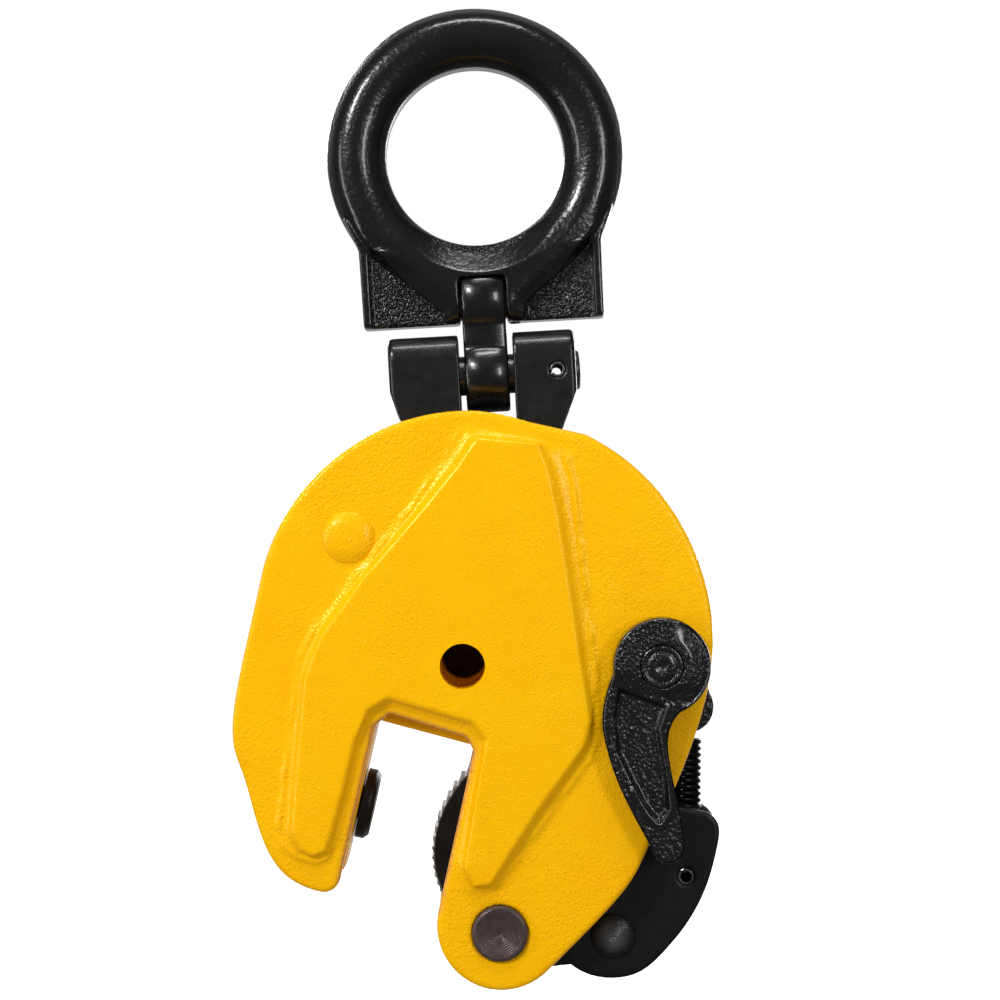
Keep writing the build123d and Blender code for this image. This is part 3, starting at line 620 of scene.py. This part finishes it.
# Places in the eye are x and z from the middle of its bore, in millimetres.
COLLAR_EDGES = (
    [(-26.0, -22.8), (-20.0, -30.4), (-14.2, -35.6), (-10.6, -39.0)],
    [(26.0, -22.8), (20.0, -30.4), (14.0, -35.0), (10.8, -38.2)],
)
COLLAR_FLASH, COLLAR_FALL = 0.55, 2.4    # rise of the line of flash, and drop of the collar
RING_SECTION = [(17.5, -7.0), (22.5, 3.0), (23.7, 5.4), (26.7, 7.8), (30.5, 8.6), (34.9, 7.6),
                (37.5, 2.4), (42.5, -7.6)]       # radius and half thickness, ends run on
RING_STEP, RING_BLUR = 0.1, 1.3
THINNEST = 2.0                   # half thickness below which the ring is left as it is


def ring_rounding(radius):
    """Share of its CAD thickness that the ring keeps at each radius, with its bevels blurred."""
    steps = np.arange(RING_SECTION[0][0], RING_SECTION[-1][0], RING_STEP)
    section = np.interp(steps, *zip(*RING_SECTION))
    spread = np.exp(-0.5 * (np.arange(-40, 41) * RING_STEP / RING_BLUR) ** 2)
    rounded = np.convolve(section, spread / spread.sum(), mode="same")
    kept = np.where(section > THINNEST, rounded / np.maximum(section, THINNEST), 1)
    return np.interp(radius, steps, kept)


def shape_eye(mesh):
    """Softens the ring's bevels and rounds the collar down to a line of flash at the webs."""
    co = read_vertices(mesh)
    place = co[:, [0, 2]] / MM
    radius = np.linalg.norm(place, axis=1)
    on_ring = np.clip((place[:, 1] + 20.0) / 6.0, 0, 1) * (radius < RING_SECTION[-2][0] - 0.2)
    co[:, 1] *= 1 + (ring_rounding(radius) - 1) * on_ring
    away = np.minimum(*(distances(place, edge, closed=False)[0] for edge in COLLAR_EDGES))
    flash = COLLAR_FLASH * np.exp(-(away / 0.7) ** 2)
    fall = COLLAR_FALL * np.clip(1 - away / 5.5, 0, 1) ** 2
    on_collar = np.clip((np.abs(co[:, 1]) / MM - 5.2) / 1.6, 0, 1)
    on_collar *= np.clip((-24.0 - place[:, 1]) / 5.0, 0, 1)
    co[:, 1] += np.sign(co[:, 1]) * MM * (flash - fall) * on_collar
    write_vertices(mesh, co)


# ---- pieces: node, name, voxel size in millimetres and passes of smoothing ----------
forge("lifting_eye", "forged_eye", 0.45, 7, sculpt=shape_eye)
forge("swivel_link", "forged_link", 0.35, 6, sculpt=crown_link)
forge("shackle_head", "forged_head", 0.50, 4)
forge("front_side_plate", "front_forging", 0.57, 3, sculpt=shape_panel)
forge("rear_side_plate", "rear_forging", 0.57, 3, sculpt=shape_panel)
forge("crank_arm", "cast_crank", 0.35, 5)
forge("lock_lever", "cast_lever", 0.30, 3, sculpt=shape_lever)
forge("cam", "toothed_cam", 0.30, 2, sculpt=bare_teeth)
forge("swivel_pad", "chamfered_pad", 0.25, 3)
forge("front_pull_link", "front_link_plate", 0.45, 3)
forge("rear_pull_link", "rear_link_plate", 0.45, 3)
forge("jaw_block", "painted_jaw_block", 0.40, 4)
forge("throat_stop", "painted_stop", 0.40, 4)
forge("back_spacer", "painted_spacer", 0.40, 4)
forge("rivet_sleeve", "painted_sleeve", 0.40, 4)
forge("head_pin", "turned_head_pin", 0.30, 3)
forge("head_pivot_pin", "headed_pivot_pin", 0.30, 3)


def round_head(profile):
    """The same head on both ends of a pin: profile runs from the centre outwards."""
    return profile + [(r, -y) for r, y in reversed(profile)]


def make_turned_pins():
    """The cam pin with its turned face, and the domed heads of the tail pin and the rivet."""
    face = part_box("cam_pin")[0].y / MM
    lathe("cam_pin", "turned_cam_pin", round_head([
        (0.05, face + 0.7), (0.5, face + 0.25), (0.8, face + 0.12), (5.5, face + 0.12),
        (5.7, face + 0.02), (6.1, face), (6.5, face + 0.08), (6.8, face + 0.4), (6.9, face + 0.8),
        (6.9, face + 6.0)]))
    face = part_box("tail_pin")[0].y / MM
    lathe("tail_pin", "domed_tail_pin", round_head([
        (0.05, face + 0.28), (0.35, face + 0.05), (1.2, face + 0.02), (2.6, face + 0.22),
        (3.8, face + 0.65), (4.8, face + 1.25), (5.4, face + 1.75), (5.65, face + 2.15),
        (4.5, face + 2.2), (4.5, face + 4.0)]))
    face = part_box("frame_rivet")[0].y / MM
    lathe("frame_rivet", "domed_frame_rivet", round_head([
        (0.05, face), (2.2, face + 0.08), (4.0, face + 0.38), (5.4, face + 0.85),
        (6.2, face + 1.3), (6.6, face + 1.62), (5.0, face + 1.7), (5.0, face + 6.0)]))


COIL_R, WIRE_R, COIL_PITCH = 3.7, 0.8, 1.63
COIL_FROM_LOW, COIL_FROM_TOP = 7.5, 8.9  # the coil's ends, measured from the two pins
LOW_LOOP_R, TOP_LOOP_R = 3.4, 4.0
TURN_STEPS = 20                  # straight lengths in one turn of the coil


def make_spring():
    """The lock spring as one wire: a loop on each pin and a close-wound coil between them."""
    low, high = middle("spring_roll_pin"), middle("crank_pin")
    low.y = high.y = 0.0
    along = high - low
    span = along.length
    along.normalize()
    side = Vector((0, 1, 0))
    across = along.cross(side)
    coil_start, coil_end = COIL_FROM_LOW * MM, span - COIL_FROM_TOP * MM
    turns = round((coil_end - coil_start) / (COIL_PITCH * MM))
    points = []

    def loop(centre, radius, start, sweep, count=18):
        for k in range(count + 1):
            turn = start + sweep * k / count
            points.append(centre + radius * MM * (along * math.cos(turn) + across * math.sin(turn)))

    loop(low, LOW_LOOP_R, 0.35 * math.pi, 1.55 * math.pi)
    points.append(low + along * 5.4 * MM + across * 1.0 * MM)
    count = turns * TURN_STEPS
    for k in range(count + 1):
        turn = 2 * math.pi * k / TURN_STEPS
        rise = coil_start + (coil_end - coil_start) * k / count
        points.append(low + along * rise
                      + COIL_R * MM * (across * math.cos(turn) + side * math.sin(turn)))
    top = low + along * (span - 1.1 * MM)
    points.append(top - along * 5.6 * MM + across * 1.2 * MM)
    loop(top, TOP_LOOP_R, 1.2 * math.pi, -1.55 * math.pi)
    mesh_data = bmesh.new()
    add_wire(mesh_data, points, WIRE_R * MM)
    finish_piece(object_from(mesh_data, "coiled_spring"), "lock_spring")


def add_wire(mesh_data, points, radius, sides=10):
    """A round wire along the points; each ring is turned from the last, so it never twists."""
    normal = None
    rings = []
    for index, point in enumerate(points):
        ahead = (points[min(index + 1, len(points) - 1)]
                 - points[max(index - 1, 0)]).normalized()
        if normal is None:
            normal = ahead.orthogonal().normalized()
        normal = (normal - ahead * normal.dot(ahead)).normalized()
        other = ahead.cross(normal)
        rings.append([
            mesh_data.verts.new(point + radius * (
                normal * math.cos(2 * math.pi * k / sides)
                + other * math.sin(2 * math.pi * k / sides)))
            for k in range(sides)
        ])
    bridge(mesh_data, rings)
    mesh_data.faces.new(list(reversed(rings[0])))
    mesh_data.faces.new(rings[-1])
    bmesh.ops.recalc_face_normals(mesh_data, faces=mesh_data.faces)


def make_shaft():
    """The lever's shaft: riveted front end with a ring and a dimple, stepped rear end."""
    front, rear = (v.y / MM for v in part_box("lever_shaft"))
    lathe("lever_shaft", "riveted_shaft", [
        (0.05, front + 0.55), (0.7, front + 0.45), (1.3, front + 0.12), (1.9, front),
        (3.3, front), (3.6, front + 0.28), (3.95, front + 0.28), (4.2, front + 0.05),
        (5.1, front + 0.05), (5.38, front + 0.45), (5.38, -6.0), (4.0, -6.0), (4.0, rear - 0.4),
        (3.6, rear), (1.0, rear), (0.05, rear)])


PIN_CHAMFER, PIN_CHAMFER_LENGTH = 0.25, 0.3


def make_roll_pin(node, name, radius, bore, gap_deg, turn_deg, sides=40):
    """A slotted spring pin: a rolled strip with a gap, chamfered at both ends.

    turn_deg is where the middle of the gap points.
    """
    centre = middle(node)
    low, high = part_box(node)
    mesh_data = bmesh.new()
    sections = []
    inset = PIN_CHAMFER_LENGTH * MM
    stations = ((low.y, PIN_CHAMFER), (low.y + inset, 0.0), (high.y - inset, 0.0),
                (high.y, PIN_CHAMFER))
    for y, less in stations:
        section = []
        for r, steps in ((radius - less, range(sides + 1)), (bore, range(sides, -1, -1))):
            for k in steps:
                a = math.radians(turn_deg + gap_deg / 2 + (360 - gap_deg) * k / sides)
                section.append(mesh_data.verts.new(
                    (centre.x + r * MM * math.cos(a), y, centre.z + r * MM * math.sin(a))))
        sections.append(section)
    length = len(sections[0])
    bridge(mesh_data, sections)
    for section in (sections[0], sections[-1]):
        for k in range(sides):
            mesh_data.faces.new((section[k], section[k + 1],
                                 section[length - 2 - k], section[length - 1 - k]))
    bmesh.ops.recalc_face_normals(mesh_data, faces=mesh_data.faces)
    thing = object_from(mesh_data, name)
    inside = [0.0] * length * len(stations)
    for section in (1, 2):           # the bore's wall, between the chamfered ends, marked for painted shade
        for k in range(sides + 1, length):
            inside[section * length + k] = 1.0
    # painted shade: the steel material colours the marked bore wall near black
    set_attribute(thing.data, "wear_and_bore_shade", inside)
    return finish_piece(thing, node)


make_turned_pins()
make_shaft()
make_roll_pin("head_roll_pin", "slotted_head_pin", 2.0, 1.3, 24, 200)
make_roll_pin("spring_roll_pin", "slotted_spring_pin", 2.0, 1.45, 34, 120)
make_spring()


# ---- stage, light and camera --------------------------------------------------------
def make_stage():
    """A white floor that glows; the clamp neither mirrors it nor takes light from it."""
    low = cad_box[0]
    mesh_data = bmesh.new()
    bmesh.ops.create_grid(mesh_data, x_segments=2, y_segments=2, size=FLOOR_SIZE)
    floor = object_from(mesh_data, "floor")
    floor.location = (0, 0, low[2] - FLOOR_DROP)
    s = Shader("floor", 0.9)
    s.colour(s.noise(400.0), (0.90, 0.90, 0.90), (0.94, 0.94, 0.94))
    s.bsdf.inputs["Specular IOR Level"].default_value = 0.0
    s.bsdf.inputs["Emission Color"].default_value = (1, 1, 1, 1)
    s.bsdf.inputs["Emission Strength"].default_value = 0.70
    floor.visible_glossy = False
    floor.visible_diffuse = False
    floor.data.materials.append(s.material)


def add_area(name, place, size, watts):
    """A rectangular lamp that faces the clamp; size is its width and height in metres."""
    light = bpy.data.lights.new(name, "AREA")
    light.shape = "RECTANGLE"
    light.size, light.size_y = size
    light.energy = watts
    lamp = bpy.data.objects.new(name, light)
    bpy.context.scene.collection.objects.link(lamp)
    lamp.location = place
    lamp.visible_camera = False
    aim = Vector(LAMP_AIM) - Vector(place)
    lamp.rotation_euler = aim.to_track_quat("-Z", "Y").to_euler()


LAMPS = (                        # name, place, width and height in metres, watts
    ("key", (-0.52, -0.72, 0.42), (0.16, 0.16), 4.7),
    ("right", (0.46, -0.76, 0.05), (0.12, 0.30), 1.5),
    ("top", (0.05, -0.35, 0.80), (0.50, 0.12), 3.2),
    ("left", (-0.85, -0.40, -0.05), (0.14, 0.60), 1.9),
    ("back_left", (-0.42, 0.85, 0.35), (0.30, 0.40), 4.2),
    ("back_right", (0.45, 0.80, -0.05), (0.20, 0.50), 2.6),
)
GLOSS_TURNS = (0.50, 0.95)       # share of +Y in a mirrored ray, from front light to back light


def blend_in(nodes, links, switch, amount, base):
    """base, plus amount for the rays that switch picks out; each may be a number or an output."""
    node = nodes.new("ShaderNodeMath")
    node.operation = "MULTIPLY_ADD"
    for socket, value in zip(node.inputs, (switch, amount, base)):
        if isinstance(value, (int, float)):
            socket.default_value = value
        else:
            links.new(value, socket)
    return node.outputs["Value"]


def make_light():
    """A surround that the camera sees as white, and paint and gloss as dimmer, and six lamps."""
    world = bpy.data.worlds.new("studio")
    world.use_nodes = True
    nodes, links = world.node_tree.nodes, world.node_tree.links
    surround = nodes["Background"]
    surround.inputs["Color"].default_value = (1, 1, 1, 1)
    ray = nodes.new("ShaderNodeLightPath").outputs
    heading = nodes.new("ShaderNodeSeparateXYZ")
    links.new(nodes.new("ShaderNodeTexCoord").outputs["Generated"], heading.inputs["Vector"])
    gloss = nodes.new("ShaderNodeMapRange")
    links.new(heading.outputs["Y"], gloss.inputs["Value"])
    for key, number in (("From Min", GLOSS_TURNS[0]), ("From Max", GLOSS_TURNS[1]),
                        ("To Min", GLOSS_FRONT - DIFFUSE_GLOW),
                        ("To Max", GLOSS_BACK - DIFFUSE_GLOW)):
        gloss.inputs[key].default_value = number
    seen = blend_in(nodes, links, ray["Is Camera Ray"], 1.0 - DIFFUSE_GLOW, DIFFUSE_GLOW)
    strength = blend_in(nodes, links, ray["Is Glossy Ray"], gloss.outputs["Result"], seen)
    links.new(strength, surround.inputs["Strength"])
    bpy.context.scene.world = world
    for lamp in LAMPS:
        add_area(*lamp)


def make_camera():
    """Level with the clamp's middle, straight in front of it and rolled a little."""
    lens = bpy.data.cameras.new("camera")
    lens.lens = lens.sensor_width * VIEW_DISTANCE / VIEW_WIDTH
    camera = bpy.data.objects.new("camera", lens)
    bpy.context.scene.collection.objects.link(camera)
    right = Vector((math.cos(ROLL), 0, -math.sin(ROLL)))
    up = Vector((math.sin(ROLL), 0, math.cos(ROLL)))
    turn = Matrix((right, up, Vector((0, -1, 0)))).transposed()
    place = Matrix.Translation((CAMERA_X, -VIEW_DISTANCE, CAMERA_Z))
    camera.matrix_world = place @ turn.to_4x4()
    bpy.context.scene.camera = camera


make_stage()
make_light()
make_camera()
bpy.context.scene.view_settings.view_transform = "Standard"
